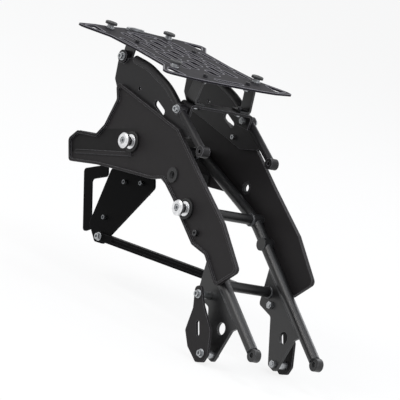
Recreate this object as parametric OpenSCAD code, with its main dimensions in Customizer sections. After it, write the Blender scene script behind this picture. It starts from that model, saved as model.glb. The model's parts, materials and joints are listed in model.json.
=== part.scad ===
/* [Rack plate] */
// Length of the rack plate over its straight front and rear edges
rack_len = 350; // [320:1:420]
// Width of the rack plate between its ears
rack_w = 244; // [236:1:280]
// Thickness of the rack plate
rack_t = 4; // [3:0.5:6]
// How far the rear edge bows out at its middle
rack_bow = 12; // [6:1:20]
// How far the lashing ears stand out past the long edges
ear_reach = 36; // [30:1:50]
// Band of metal round each lashing eye
ear_band = 8; // [6:0.5:10]
// Width of the oblong slots
slot_w = 11; // [8:0.5:13]
// Length of the oblong slots, end to end
slot_len = 46; // [36:1:50]
// Distance between the middles of neighbouring slots in a row
slot_pitch = 60; // [56:1:64]

/* [Rack fixings] */
// Height of the gap between the rack plate and the front bridge
leg_h = 51; // [48:1:58]
// Width of a front leg along the rack
leg_w = 30; // [24:1:36]
// Thickness of the folded legs and brackets
leg_t = 4; // [3:0.5:6]
// Distance of the front legs ahead of the rack's middle
leg_x = 140; // [134:1:150]
// Distance of each front leg from the middle line
leg_y = 54; // [48:1:60]
// Distance of the rear brackets behind the rack's middle
rear_x = 68; // [62:1:74]
// Drop of the rear brackets' cross bolts below the rack plate's top
rear_drop = 32; // [28:1:38]

/* [Adapter studs] */
// Diameter of the stud caps
stud_cap_d = 24; // [20:1:28]
// Height of the stud caps
stud_cap_h = 5; // [4:0.5:7]
// Diameter of the turned stud base
stud_base_d = 13; // [10:0.5:16]
// Height of the turned stud base
stud_base_h = 8; // [6:0.5:12]
// Distance of the front studs behind the rack's straight front edge
stud_front_x = 73; // [69:1:77]
// Distance of the front studs inside the rack's long edges
stud_front_y = 18; // [16:1:22]
// Distance of the rear studs ahead of the rack's straight rear edge
stud_rear_x = 15; // [11:1:19]
// Distance of the rear studs inside the rack's long edges
stud_rear_y = 48; // [42:1:56]

/* [Side plates] */
// Distance between the inner faces of the two side plates
side_gap = 182; // [170:1:210]
// Thickness of each side plate
plate_t = 4; // [3:0.5:6]
// Width of the raised rim along the edges of a side plate
rim_w = 5; // [4:0.5:7]
// Height of the raised rim
rim_h = 4; // [2:0.5:6]
// Reach of the side plates behind the rack's middle
tail_reach = 148; // [140:1:160]
// Diameter of the grommet in each side plate
grommet_d = 30; // [24:1:34]
// Diameter of the hole through the grommet
grommet_bore_d = 15; // [12:1:18]

/* [Pannier spools] */
// Distance of the upper spools ahead of the rack's middle
upper_x = 41; // [34:1:50]
// Drop of the upper spools below the rack plate's top
upper_drop = 173; // [168:1:180]
// Distance of the lower spools ahead of the rack's middle
lower_x = 259; // [250:1:270]
// Drop of the lower spools below the rack plate's top
lower_drop = 236; // [230:1:242]
// Diameter of the spool head
spool_head_d = 31; // [28:1:34]
// Thickness of the spool head
spool_head_h = 8; // [6:0.5:10]
// Diameter of the spool neck that a pannier hook grips
spool_neck_d = 18; // [16:0.5:20]
// Length of the spool neck
spool_neck_h = 10; // [8:0.5:14]
// Diameter of the spool foot on the side plate
spool_foot_d = 29; // [27:0.5:30]
// Thickness of the spool foot
spool_foot_h = 8; // [6:0.5:12]

/* [Rails and tubes] */
// Diameter of the long side rails
rail_d = 22; // [18:1:25]
// Distance of the front fixing eyes ahead of the rack's middle
eye_x = 560; // [540:1:600]
// Drop of the front fixing eyes below the rack plate's top
eye_drop = 424; // [410:1:440]
// Bore of the front fixing eyes
eye_bore_d = 10.5; // [8.5:0.5:12.5]
// Outer diameter of the front fixing eyes
eye_d = 26; // [24:1:30]
// Width of the front fixing eyes along their bore
eye_w = 14; // [12:1:18]
// Diameter of the cross tubes
cross_d = 20; // [18:1:24]
// Wall of the cross tubes
cross_wall = 2.5; // [2:0.5:3.5]
// Diameter of the grab rails
grab_d = 16; // [14:1:20]
// Thickness of the web below each grab rail
grab_web_t = 6; // [5:0.5:8]

/* [Tail and stay] */
// Slope of the tail tray's floor, rising forward
tail_slope = 10.6; // [8:0.1:13]
// Length of the tail tray
tray_len = 206; // [190:1:212]
// Thickness of the tail tray
tray_t = 3; // [2:0.5:4]
// Height of the tail tray's side walls
tray_h = 18; // [14:1:20]
// Thickness of the gusset plate
gusset_t = 5; // [4:0.5:6]
// Height of the square stay
stay_h = 16; // [14:1:18]
// Drop of the stay's rear bolt below the rack plate's top
stay_rear_drop = 398; // [392:1:404]
// Distance of the stay's rear bolt behind the rack's middle
stay_rear_x = 76; // [70:1:82]
// Distance of the lower cross tube ahead of the rack's middle
stay_front_x = 366; // [360:1:374]
// Drop of the lower cross tube below the rack plate's top
stay_front_drop = 346; // [340:1:352]

/* [Foot brackets] */
// Thickness of the slotted foot brackets
foot_t = 5; // [4:0.5:7]
// Gap between a rail lug and its foot bracket
foot_gap = 22; // [16:1:28]
// Width of the adjusting slot in a foot bracket
foot_slot_w = 9; // [7:0.5:11]
// Length of the adjusting slot, end to end
foot_slot_len = 30; // [24:1:36]

/* [Fasteners] */
// Thread diameter of the large screws
big_d = 8; // [6:1:10]
// Thread diameter of the small screws
small_d = 6; // [5:0.5:6]
// Clearance of a screw in its hole, on the diameter
hole_clear = 0.4; // [0.3:0.1:1]

/* [Hidden] */
$fn = 48;

black = "#26272a";
plate_grey = "#3a3a3d";
rack_black = "#303236";
silver = "#c9cacc";
rubber = "#1b1b1c";

arc_steps = 6;
bend_steps = 4;
bar_sides = 24;
cut = 1;
hx = rack_len / 2;
hy = rack_w / 2;
side_in = side_gap / 2;
side_out = side_in + plate_t;
upper_at = [upper_x, -upper_drop];
lower_at = [lower_x, -lower_drop];
eye_at = [eye_x, -eye_drop];
stay_rear_at = [-stay_rear_x, -stay_rear_drop];
stay_front_at = [stay_front_x, -stay_front_drop];

// Plane geometry: directions, corners and offsets of outlines
function unit(v) = v / norm(v);
function perp(v) = [-v[1], v[0]];
function cross2(a, b) = a[0] * b[1] - a[1] * b[0];
function meet(p, d, q, e) = p + d * (cross2(q - p, e) / cross2(d, e));
function mirror_x(pts) = [for (p = pts) [-p[0], p[1]]];
function mirror_y(pts) = [for (p = pts) [p[0], -p[1]]];
function backwards(pts) = [for (i = [len(pts) - 1:-1:0]) pts[i]];
function turn(v, a) = [v[0] * cos(a) - v[1] * sin(a), v[0] * sin(a) + v[1] * cos(a)];

function corner(before, at, after, r, steps = arc_steps) =
    let (
        a = unit(before - at),
        b = unit(after - at),
        half = acos(a * b) / 2,
        run = min(r / tan(half), 0.45 * min(norm(before - at), norm(after - at))),
        rad = run * tan(half),
        mid = at + unit(a + b) * (rad / sin(half)),
        first = at + a * run - mid,
        last = at + b * run - mid,
        from = atan2(first[1], first[0]),
        sweep = (atan2(last[1], last[0]) - from + 540) % 360 - 180
    )
    [for (k = [0:steps]) mid + rad * [cos(from + sweep * k / steps), sin(from + sweep * k / steps)]];

function rounded(pts, r) =
    let (n = len(pts))
    [for (i = [0:n - 1]) each corner(pts[(i + n - 1) % n], pts[i], pts[(i + 1) % n], r)];

function rounded_path(pts, r, steps = arc_steps) =
    let (n = len(pts))
    [pts[0], for (i = [1:n - 2]) each corner(pts[i - 1], pts[i], pts[i + 1], r, steps), pts[n - 1]];

function inset(pts, d) =
    let (n = len(pts))
    [for (i = [0:n - 1])
        let (
            a = unit(pts[i] - pts[(i + n - 1) % n]),
            b = unit(pts[(i + 1) % n] - pts[i])
        )
        meet(pts[i] + perp(a) * d, a, pts[i] + perp(b) * d, b)];

function beside(path, d) =
    let (n = len(path))
    [for (i = [0:n - 1])
        let (
            a = unit(path[max(i, 1)] - path[max(i, 1) - 1]),
            b = unit(path[min(i, n - 2) + 1] - path[min(i, n - 2)]),
            m = unit(perp(a) + perp(b))
        )
        path[i] + m * (d / (m * perp(a)))];

// Outline of a sheet folded along a path, with its thickness on the path's left
function folded(pts, r, t) =
    let (path = rounded_path(pts, r))
    concat(path, backwards(beside(path, t)));

// Placing: local x runs forward, local y up, local z outboard
module on_side(side) {
    if (side == "right") rotate([90, 0, 0]) children();
    else mirror([0, 1, 0]) rotate([90, 0, 0]) children();
}

module both_sides() {
    on_side("right") children();
    on_side("left") children();
}

module at(p, z = 0) {
    translate([p[0], p[1], z]) children();
}

module oblong(length, width, height) {
    run = length - width;
    for (end = [-0.5, 0.5]) translate([run * end, 0, 0]) cylinder(d = width, h = height);
    translate([-run / 2, -width / 2, 0]) cube([run, width, height]);
}

// A round bar along a path in its own plane: one ring of points at each chord's end, joined by flat faces
module bent_bar(pts, bend, d) {
    chords = rounded_path(pts, bend, bend_steps);
    n = len(chords);
    across = beside(chords, d / 2);
    rings = [for (k = [0:n - 1]) for (j = [0:bar_sides - 1])
        let (
            turned = 360 * (j + 0.5) / bar_sides,
            p = chords[k] + (across[k] - chords[k]) * cos(turned)
        )
        [p[0], p[1], d / 2 * sin(turned)]];
    walls = [for (k = [0:n - 2]) for (j = [0:bar_sides - 1])
        let (
            here = k * bar_sides + j,
            next = k * bar_sides + (j + 1) % bar_sides
        )
        [here, here + bar_sides, next + bar_sides, next]];
    start = [for (j = [0:bar_sides - 1]) j];
    end = [for (j = [bar_sides - 1:-1:0]) (n - 1) * bar_sides + j];
    polyhedron(points = rings, faces = concat([start, end], walls), convexity = 4);
}

// A socket screw whose seat is at z = 0, with its head above and its shank below
module socket_screw(d, length) {
    head_d = 1.5 * d;
    head_h = 0.85 * d;
    socket_d = 0.9 * d;
    socket_floor = 0.45 * d;
    difference() {
        union() {
            cylinder(d = head_d, h = head_h);
            translate([0, 0, -length]) cylinder(d = d, h = length);
        }
        translate([0, 0, socket_floor]) cylinder(d = socket_d, h = d, $fn = 6);
    }
}

// Nut sizes as shares of the thread, and the thread that stands past a nut
nut_wide = 1.9;
nut_share = 0.8;
spare = 1.5;

module hex_nut(d) {
    difference() {
        cylinder(d = nut_wide * d, h = nut_share * d, $fn = 6);
        translate([0, 0, -cut]) cylinder(d = d + hole_clear, h = d + 2 * cut);
    }
}

// Rack plate
ear_in = 28;
ear_tip = 16;
ear_back = 56;
rack_corner_r = 10;
waist = 6;
quarter = [
    [hx, hy - 60],
    [hx - 4, hy - 18],
    [hx - ear_in + ear_tip / 2, hy + ear_reach],
    [hx - ear_in - ear_tip / 2, hy + ear_reach],
    [hx - ear_in - ear_back, hy]
];
left_edge = concat(
    quarter,
    [[0, hy - waist]],
    backwards(mirror_x(quarter)),
    [[-hx - rack_bow, 18]]
);
rack_outline = concat(left_edge, backwards(mirror_y(left_edge)));
ear_outline = [quarter[1], (quarter[2] + quarter[3]) / 2 + [0, 4], quarter[4] - [4, 6]];
rack_screw_d = small_d;
rear_screw_y = side_in - grab_web_t - 13;
rack_screw_at = [
    [leg_x, leg_y], [leg_x, -leg_y],
    [-rear_x, rear_screw_y], [-rear_x, -rear_screw_y]
];
stud_at = [
    for (p = [[hx - stud_front_x, hy - stud_front_y], [-hx + stud_rear_x, hy - stud_rear_y]])
        for (side = [1, -1]) [p[0], side * p[1]]
];
stud_screw_d = small_d;

// Rows of slots: the outer row keeps its band to the long edge, the inner row its place by the middle
slot_edge = 22;
inner_row = 32;
middle_row_share = 7 / 17;
end_slot_edge = 26;

module slot_row(y, first, count, length = slot_len, width = slot_w) {
    for (i = [0:count - 1]) translate([first + i * slot_pitch, y, -rack_t - cut])
        oblong(length, width, rack_t + 2 * cut);
}

module rack_plate() {
    outer_row = hy - slot_edge;
    middle_row = inner_row + (outer_row - inner_row) * middle_row_share;
    end_slot_x = hx - end_slot_edge;
    color(rack_black) difference() {
        translate([0, 0, -rack_t]) linear_extrude(rack_t) polygon(rounded(rack_outline, rack_corner_r));
        for (sx = [0, 1], sy = [0, 1]) mirror([sx, 0, 0]) mirror([0, sy, 0])
            translate([0, 0, -rack_t - cut]) linear_extrude(rack_t + 2 * cut)
                polygon(rounded(inset(ear_outline, ear_band), 4));
        for (side = [-1, 1]) {
            slot_row(side * outer_row, -slot_pitch, 3);
            slot_row(side * middle_row, -1.85 * slot_pitch, 4);
            slot_row(side * inner_row, -2 * slot_pitch, 4, slot_len, 1.3 * slot_w);
            slot_row(0, side * slot_pitch * 1.05 - slot_pitch / 2, 2, slot_len - 10, 1.6 * slot_w);
        }
        for (x = [-end_slot_x, end_slot_x]) translate([x, 0, -rack_t - cut]) rotate([0, 0, 90])
            oblong(1.5 * slot_len, slot_w, rack_t + 2 * cut);
        for (p = rack_screw_at) at(p, -rack_t - cut)
            cylinder(d = rack_screw_d + hole_clear, h = rack_t + 2 * cut);
        for (p = stud_at) at(p, -rack_t - cut)
            cylinder(d = stud_screw_d + hole_clear, h = rack_t + 2 * cut);
    }
}

// Curved catch on the rear edge that an adapter plate hooks behind
catch_r = 24;
catch_w = 6;
catch_h = 5;

module rear_catch() {
    color(silver) translate([-hx + catch_r - 4, 0, 0]) rotate([0, 0, 130])
        rotate_extrude(angle = 100) translate([catch_r, 0]) square([catch_w, catch_h]);
}

module stud_base(i) {
    collar = 4;
    collar_h = 2;
    color(silver) at(stud_at[i]) {
        cylinder(d = stud_base_d, h = stud_base_h);
        cylinder(d = stud_base_d + collar, h = collar_h);
        translate([0, 0, -rack_t]) cylinder(d = stud_screw_d, h = rack_t + collar_h);
    }
}

module stud_cap(i) {
    rim = 1.2;
    color(black) at(stud_at[i], stud_base_h) difference() {
        union() {
            cylinder(d = stud_cap_d, h = stud_cap_h - rim);
            translate([0, 0, stud_cap_h - rim])
                cylinder(d1 = stud_cap_d, d2 = stud_cap_d - 2 * rim, h = rim);
        }
        translate([-stud_cap_d * 0.32, -1.5, stud_cap_h - 2]) cube([stud_cap_d * 0.64, 3, 2 + cut]);
    }
}

// Folded legs between the rack plate and the front bridge
bridge_z = -rack_t - leg_h;
bridge_t = 5;
leg_half = 12;
leg_lean = 6;
leg_foot = 26;
fold_r = 3;

module front_leg(side) {
    path = [
        [leg_y + leg_half + leg_lean - leg_foot, bridge_z],
        [leg_y + leg_half + leg_lean, bridge_z],
        [leg_y + leg_half, -rack_t],
        [leg_y - leg_half, -rack_t]
    ];
    color(black) mirror([0, side == "right" ? 1 : 0, 0]) difference() {
        translate([leg_x - leg_w / 2, 0, 0]) rotate([90, 0, 90]) linear_extrude(leg_w)
            polygon(folded(path, fold_r + leg_t, leg_t));
        translate([leg_x, leg_y, bridge_z - cut])
            cylinder(d = rack_screw_d + hole_clear, h = leg_h + 2 * cut);
    }
}

module rear_bracket(side) {
    outer = side_in - grab_web_t;
    flange = 28;
    below = 13;
    path = [[outer, -rear_drop - below], [outer, -rack_t], [outer - flange, -rack_t]];
    color(black) mirror([0, side == "right" ? 1 : 0, 0]) difference() {
        translate([-rear_x - leg_w / 2, 0, 0]) rotate([90, 0, 90]) linear_extrude(leg_w)
            polygon(folded(path, fold_r + leg_t, leg_t));
        translate([-rear_x, rear_screw_y, -rack_t - leg_t - cut])
            cylinder(d = rack_screw_d + hole_clear, h = leg_t + 2 * cut);
        translate([-rear_x, outer + cut, -rear_drop]) rotate([90, 0, 0])
            cylinder(d = big_d + hole_clear, h = leg_t + 2 * cut);
    }
}

module rack_screws() {
    stack = rack_t + leg_t;
    color(silver) for (p = rack_screw_at) at(p)
        socket_screw(rack_screw_d, stack + nut_share * rack_screw_d + spare);
    foot_stack = leg_t + bridge_t;
    color(silver) for (s = [-1, 1]) translate([leg_x, s * leg_y, bridge_z + leg_t])
        socket_screw(rack_screw_d, foot_stack + nut_share * rack_screw_d + spare);
}

module rack_nuts() {
    color(silver) for (p = rack_screw_at) at(p, -rack_t - leg_t - nut_share * rack_screw_d)
        hex_nut(rack_screw_d);
    color(silver) for (s = [-1, 1])
        translate([leg_x, s * leg_y, bridge_z - bridge_t - nut_share * rack_screw_d])
            hex_nut(rack_screw_d);
}

// Grab rails: a round bar along the seat, with a web down to the side plate
grab_y = side_in - 4;
boss_proud = 1;
grab_in = grab_y - grab_d / 2 - boss_proud;
grab_out = grab_y + grab_d / 2 + boss_proud;
grab_bend = 160;
grab_path = [[-36, -27], [10, -27], [85, -44], [243, -124]];
grab_end = grab_path[3];
grab_boss_d = 22;
rear_boss_d = 26;
rear_boss_out = 6;
bridge_bolt_z = grab_path[2][1]
    + (grab_path[3][1] - grab_path[2][1]) * (leg_x - grab_path[2][0]) / (grab_path[3][0] - grab_path[2][0]);
web_outline = [
    [-50, -104], [140, -128], [208, -109], [85, -47],
    [10, -30], [-44, -27], [-84, -40], [-76, -80]
];
web_hole_at = [6, -74];
web_hole_d = 8;
web_slot_at = [82, -88];
web_slot_turn = -20;
web_slot_len = 40;
web_slot_w = 13;
web_screw_at = [[-20, -95], [112, -113]];
web_screw_bite = 3;

module grab_rail(side) {
    color(black) on_side(side) difference() {
        union() {
            translate([0, 0, grab_y]) bent_bar(grab_path, grab_bend, grab_d);
            translate([0, 0, side_in - grab_web_t]) linear_extrude(grab_web_t)
                polygon(rounded(web_outline, 8));
            at([-rear_x, -rear_drop], side_in - grab_web_t)
                cylinder(d = rear_boss_d, h = grab_web_t + rear_boss_out);
            at([leg_x, bridge_bolt_z], grab_in) cylinder(d = grab_boss_d, h = grab_out - grab_in);
            at(grab_end, grab_in) cylinder(d = grab_boss_d, h = grab_out - grab_in);
        }
        at([-rear_x, -rear_drop], grab_in - cut)
            cylinder(d = big_d + hole_clear, h = grab_d + rear_boss_out + 2 * cut);
        for (p = [[leg_x, bridge_bolt_z], grab_end]) at(p, grab_in - cut)
            cylinder(d = big_d + hole_clear, h = grab_out - grab_in + 2 * cut);
        at(web_hole_at, grab_in) cylinder(d = web_hole_d, h = grab_d);
        at(web_slot_at, grab_in) rotate([0, 0, web_slot_turn]) oblong(web_slot_len, web_slot_w, grab_d);
        for (p = web_screw_at) at(p, grab_in) cylinder(d = small_d + hole_clear, h = grab_d);
    }
}

module web_screws() {
    color(silver) both_sides() for (p = web_screw_at) at(p, side_in - grab_web_t)
        rotate([180, 0, 0]) socket_screw(small_d, grab_web_t + web_screw_bite);
}

module rear_bracket_bolts() {
    seat = side_in + rear_boss_out;
    grip = rear_boss_out + grab_web_t + leg_t;
    color(silver) both_sides() at([-rear_x, -rear_drop], seat) {
        socket_screw(big_d, grip + nut_share * big_d + spare);
        translate([0, 0, -grip - nut_share * big_d]) hex_nut(big_d);
    }
}

module front_bridge() {
    drop = 30;
    path = [
        [grab_in, bridge_z - drop], [grab_in, bridge_z],
        [-grab_in, bridge_z], [-grab_in, bridge_z - drop]
    ];
    depth = leg_w + 6;
    color(black) difference() {
        translate([leg_x - depth / 2, 0, 0]) rotate([90, 0, 90]) linear_extrude(depth)
            polygon(folded(path, fold_r + bridge_t, bridge_t));
        for (s = [-1, 1]) translate([leg_x, s * leg_y, bridge_z - bridge_t - cut])
            cylinder(d = rack_screw_d + hole_clear, h = bridge_t + 2 * cut);
        translate([leg_x, grab_in + cut, bridge_bolt_z]) rotate([90, 0, 0])
            cylinder(d = big_d + hole_clear, h = 2 * grab_in + 2 * cut);
    }
}

module bridge_bolts() {
    grip = grab_out - grab_in + bridge_t;
    color(silver) both_sides() at([leg_x, bridge_bolt_z], grab_out) {
        socket_screw(big_d, grip + nut_share * big_d + spare);
        translate([0, 0, -grip - nut_share * big_d]) hex_nut(big_d);
    }
}

// Side plates
tail_at = [-tail_reach + 22, -upper_drop - 89];
function from_tail(p) = tail_at + turn(p, tail_slope);
side_outline = [
    tail_at + [0, -7],
    upper_at + [-83, -75],
    upper_at + [-21, -64],
    upper_at + [88, -46],
    lower_at + [-94, 30],
    lower_at + [-44, 4],
    lower_at + [-8, -20],
    lower_at + [50, -55],
    lower_at + [96, -60],
    lower_at + [153, -104],
    lower_at + [203, -56],
    lower_at + [119, 12],
    lower_at + [10, 71],
    upper_at + [123, 68],
    upper_at + [-102, 93],
    upper_at + [-82, 61],
    upper_at + [-95, 4],
    upper_at + [-112, -22],
    tail_at + [-2, 56],
    tail_at + [-22, 33]
];
side_corner_r = 9;
grommet_at = lower_at + [-71, 45];
grommet_lip = 6;
rail_y = side_in - 2 - rail_d / 2;
rail_in = rail_y - rail_d / 2 - boss_proud;
rail_way = unit(eye_at - lower_at);
rail_screw_at = lower_at + rail_way * 60;
tray_screw_in = 40;
tray_screw_end = 36;
tray_screw_up = 10;
tray_screw_at = [[tray_screw_in, tray_screw_up], [tray_len - tray_screw_end, tray_screw_up]];
ridge_from = tail_at + [8, 16];
ridge_to = upper_at + [10, -22];
ridge_w = 8;
ridge_h = 3;
blind = 3.2;

module side_plate(side) {
    outline = rounded(side_outline, side_corner_r);
    ridge = ridge_to - ridge_from;
    color(plate_grey) on_side(side) difference() {
        union() {
            translate([0, 0, side_in]) linear_extrude(plate_t) polygon(outline);
            difference() {
                translate([0, 0, side_in]) linear_extrude(plate_t + rim_h) polygon(outline);
                translate([0, 0, side_in - cut]) linear_extrude(plate_t + rim_h + 2 * cut)
                    polygon(rounded(inset(side_outline, rim_w), side_corner_r - 2));
            }
            at((ridge_from + ridge_to) / 2, side_in) rotate([0, 0, atan2(ridge[1], ridge[0])])
                oblong(norm(ridge), ridge_w, plate_t + ridge_h);
        }
        for (p = [upper_at, lower_at, rail_screw_at]) at(p, side_in - cut)
            cylinder(d = big_d + hole_clear, h = plate_t + 2 * cut);
        at(grommet_at, side_in - cut) cylinder(d = grommet_d - grommet_lip, h = plate_t + 2 * cut);
        for (p = web_screw_at) at(p, side_in - cut) cylinder(d = small_d + hole_clear, h = blind + cut);
        for (p = tray_screw_at) at(from_tail(p), side_in - cut)
            cylinder(d = small_d + hole_clear, h = blind + cut);
    }
}

module grommet(side) {
    lip = 2.5;
    color(rubber) on_side(side) at(grommet_at) difference() {
        union() {
            translate([0, 0, side_out]) cylinder(d = grommet_d, h = lip);
            translate([0, 0, side_in]) cylinder(d = grommet_d - grommet_lip - hole_clear, h = plate_t);
        }
        translate([0, 0, side_in - cut]) cylinder(d = grommet_bore_d, h = plate_t + lip + 2 * cut);
    }
}

// Pannier spools: foot, neck and head turned in one piece, each on its own screw
spool_h = spool_foot_h + spool_neck_h + spool_head_h;
spool_sink = 0.9 * big_d;
spool_seat = side_out + spool_h - spool_sink;
rail_bite = 14;

module spool(p, side) {
    soft = 1.2;
    color(silver) on_side(side) at(p, side_out) difference() {
        rotate_extrude() polygon([
            [0, 0],
            [spool_foot_d / 2, 0],
            [spool_foot_d / 2, spool_foot_h - 2],
            [spool_neck_d / 2 + 1, spool_foot_h],
            [spool_neck_d / 2, spool_foot_h],
            [spool_neck_d / 2, spool_foot_h + spool_neck_h],
            [spool_head_d / 2 - soft, spool_foot_h + spool_neck_h],
            [spool_head_d / 2, spool_foot_h + spool_neck_h + soft],
            [spool_head_d / 2, spool_h - 2 * soft],
            [spool_head_d / 2 - 2 * soft, spool_h],
            [0, spool_h]
        ]);
        translate([0, 0, -cut]) cylinder(d = big_d + hole_clear, h = spool_h + 2 * cut);
        translate([0, 0, spool_h - spool_sink]) cylinder(d = 1.5 * big_d + 2, h = spool_sink + cut);
    }
}

module spool_bolt(p, side) {
    color(silver) on_side(side) at(p, spool_seat)
        socket_screw(big_d, spool_seat - side_in + rail_bite);
}

module rail_screws() {
    color(black) both_sides() at(rail_screw_at, side_out) socket_screw(big_d, plate_t + rail_bite);
}

// Side rails, with bosses for the side plates, a lug for the foot bracket and a front eye
rail_bend = 180;
rail_boss_d = 26;
lug_t = 6;
rail_end = eye_at - rail_way * (eye_bore_d / 2 + 5);
foot_top = lower_at + [118, -116];
foot_angle = -61;
function on_foot(p) = foot_top + turn(p, foot_angle);
foot_hole_at = [[16, 0], [132, 6]];
foot_bolt_at = [for (p = foot_hole_at) on_foot(p)];
lug_outline = [
    stay_front_at + [-16, -30],
    foot_bolt_at[0] + [8, -20],
    foot_bolt_at[1] + [-16, -8],
    foot_bolt_at[1] + [8, -14],
    foot_bolt_at[1] + [32, 60],
    lower_at + rail_way * 286,
    lower_at + rail_way * 102,
    stay_front_at + [-20, 40]
];
lug_hole_at = foot_bolt_at[1] + [2, 54];
lug_hole_d = 24;

module side_rail(side) {
    color(black) on_side(side) difference() {
        union() {
            translate([0, 0, rail_y]) bent_bar([upper_at, lower_at, rail_end], rail_bend, rail_d);
            for (p = [upper_at, lower_at, rail_screw_at]) at(p, rail_in)
                cylinder(d = rail_boss_d, h = side_in - rail_in);
            at(eye_at, rail_y - eye_w / 2) cylinder(d = eye_d, h = eye_w);
            translate([0, 0, rail_y - lug_t / 2]) linear_extrude(lug_t)
                polygon(rounded(lug_outline, 8));
        }
        for (p = [upper_at, lower_at, rail_screw_at]) at(p, side_in - rail_bite - 2)
            cylinder(d = big_d + hole_clear, h = rail_bite + 2 + cut);
        at(eye_at, rail_y - eye_w / 2 - cut) cylinder(d = eye_bore_d, h = eye_w + 2 * cut);
        for (p = foot_bolt_at) at(p, rail_y - lug_t) cylinder(d = big_d + hole_clear, h = 2 * lug_t);
        at(lug_hole_at, rail_y - lug_t) cylinder(d = lug_hole_d, h = 2 * lug_t);
    }
}

// Cross tubes between the two sides
module tube_across(p, half) {
    at(p, -half) difference() {
        cylinder(d = cross_d, h = 2 * half);
        translate([0, 0, -cut]) cylinder(d = cross_d - 2 * cross_wall, h = 2 * half + 2 * cut);
    }
}

module upper_cross_tube() {
    color(black) on_side("right") tube_across(upper_at, rail_in);
}

module middle_cross_tube() {
    color(black) on_side("right") tube_across(lower_at, rail_in);
}

stay_way = unit(stay_front_at - stay_rear_at);
stay_tab = 28;
stay_front_bolt = stay_front_at - stay_way * stay_tab;
stay_run = norm(stay_front_bolt - stay_rear_at);
stay_angle = atan2(stay_way[1], stay_way[0]);
stay_eye = 10;
stay_neck = 8;

module lower_cross_tube() {
    half = rail_y - lug_t / 2;
    inner = stay_tab + 4;
    tab = [[-stay_eye, -stay_neck], [inner, -stay_neck], [inner, stay_neck], [-stay_eye, stay_neck]];
    color(black) on_side("right") difference() {
        union() {
            at(stay_front_at, -half) cylinder(d = cross_d, h = 2 * half);
            at(stay_front_bolt, -gusset_t / 2) rotate([0, 0, stay_angle]) linear_extrude(gusset_t)
                polygon(rounded(tab, stay_neck - 1));
        }
        at(stay_front_at, -half - cut) cylinder(d = cross_d - 2 * cross_wall, h = 2 * half + 2 * cut);
        at(stay_front_bolt, -gusset_t) cylinder(d = big_d + hole_clear, h = 2 * gusset_t);
    }
}

// Tail tray between the side plates
module in_tail() {
    translate([tail_at[0], 0, tail_at[1]]) rotate([0, -tail_slope, 0]) children();
}

tray_back = [[6, 56], [-14, 36]];
tray_bend = 8;
tray_wall_from = 12;

module tail_tray() {
    path = concat(tray_back, [[0, 0], [tray_len, 0]]);
    color(black) difference() {
        in_tail() {
            translate([0, side_in, 0]) rotate([90, 0, 0]) linear_extrude(side_gap)
                polygon(folded(path, tray_bend, tray_t));
            for (s = [0, 1]) mirror([0, s, 0]) translate([tray_wall_from, side_in - tray_t, 0])
                cube([tray_len - tray_wall_from, tray_t, tray_h]);
        }
        on_side("right") for (p = tray_screw_at) at(from_tail(p), -side_in - cut)
            cylinder(d = small_d + hole_clear, h = side_gap + 2 * cut);
        in_tail() for (p = tray_holes) translate([p[0], p[1], -cut])
            cylinder(d = small_d + hole_clear, h = tray_t + 2 * cut);
    }
}

module tray_screws() {
    color(silver) both_sides() for (p = tray_screw_at) at(from_tail(p), side_in - tray_t)
        rotate([180, 0, 0]) socket_screw(small_d, tray_t + web_screw_bite);
}

// Gusset below the tray, its hanger, the rear brace and the stay, all near the middle plane
hang_t = 4;
hang_run = 30;
hang_from = 26;
hang_to = 140;
gusset_half = gusset_t / 2;
stay_hole = turn(stay_rear_at - tail_at, -tail_slope);
gusset_screw_at = [[66, -27], [118, -22], [24, -104]];
brace_foot_x = -10;
brace_foot_w = 32;
tray_hole_in = 16;
tray_hole_y = 20;
tray_holes = [
    for (x = [hang_from + tray_hole_in, hang_to - tray_hole_in, brace_foot_x + 22]) [x, tray_hole_y]
];
gusset_outline = [
    [-21, -122],
    stay_hole + [-18, -12],
    stay_hole + [8, -13],
    stay_hole + [26, 6],
    [158, -26],
    [152, -6],
    [16, -6]
];

module gusset_plate() {
    color(black) in_tail() rotate([90, 0, 0]) translate([0, 0, -gusset_half]) difference() {
        linear_extrude(gusset_t) polygon(rounded(gusset_outline, 8));
        for (p = gusset_screw_at) at(p, -cut) cylinder(d = small_d + hole_clear, h = gusset_t + 2 * cut);
        at(stay_hole, -cut) cylinder(d = big_d + hole_clear, h = gusset_t + 2 * cut);
    }
}

module gusset_hanger() {
    drop = 42;
    path = [[gusset_half, -drop], [gusset_half, 0], [gusset_half + hang_run, 0]];
    color(black) in_tail() difference() {
        translate([hang_from, 0, 0]) rotate([90, 0, 90]) linear_extrude(hang_to - hang_from)
            polygon(folded(backwards(path), fold_r + hang_t, hang_t));
        for (i = [0, 1]) {
            translate([gusset_screw_at[i][0], gusset_half + hang_t + cut, gusset_screw_at[i][1]])
                rotate([90, 0, 0]) cylinder(d = small_d + hole_clear, h = hang_t + 2 * cut);
            translate([tray_holes[i][0], tray_holes[i][1], -hang_t - cut])
                cylinder(d = small_d + hole_clear, h = hang_t + 2 * cut);
        }
    }
}

brace_w = 24;
brace_path = [[-2, -13], [-62, -28], [-34, -126], gusset_screw_at[2] + [6, 3]];

module rear_brace() {
    band = concat(beside(brace_path, -brace_w / 2), backwards(beside(brace_path, brace_w / 2)));
    color(black) in_tail() difference() {
        union() {
            translate([0, gusset_half + hang_t, 0]) rotate([90, 0, 0]) linear_extrude(hang_t)
                polygon(rounded(band, 7));
            translate([brace_foot_x, gusset_half, -hang_t]) cube([brace_foot_w, hang_run, hang_t]);
        }
        translate([gusset_screw_at[2][0], gusset_half + hang_t + cut, gusset_screw_at[2][1]])
            rotate([90, 0, 0]) cylinder(d = small_d + hole_clear, h = hang_t + 2 * cut);
        translate([tray_holes[2][0], tray_holes[2][1], -hang_t - cut])
            cylinder(d = small_d + hole_clear, h = hang_t + 2 * cut);
    }
}

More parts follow.
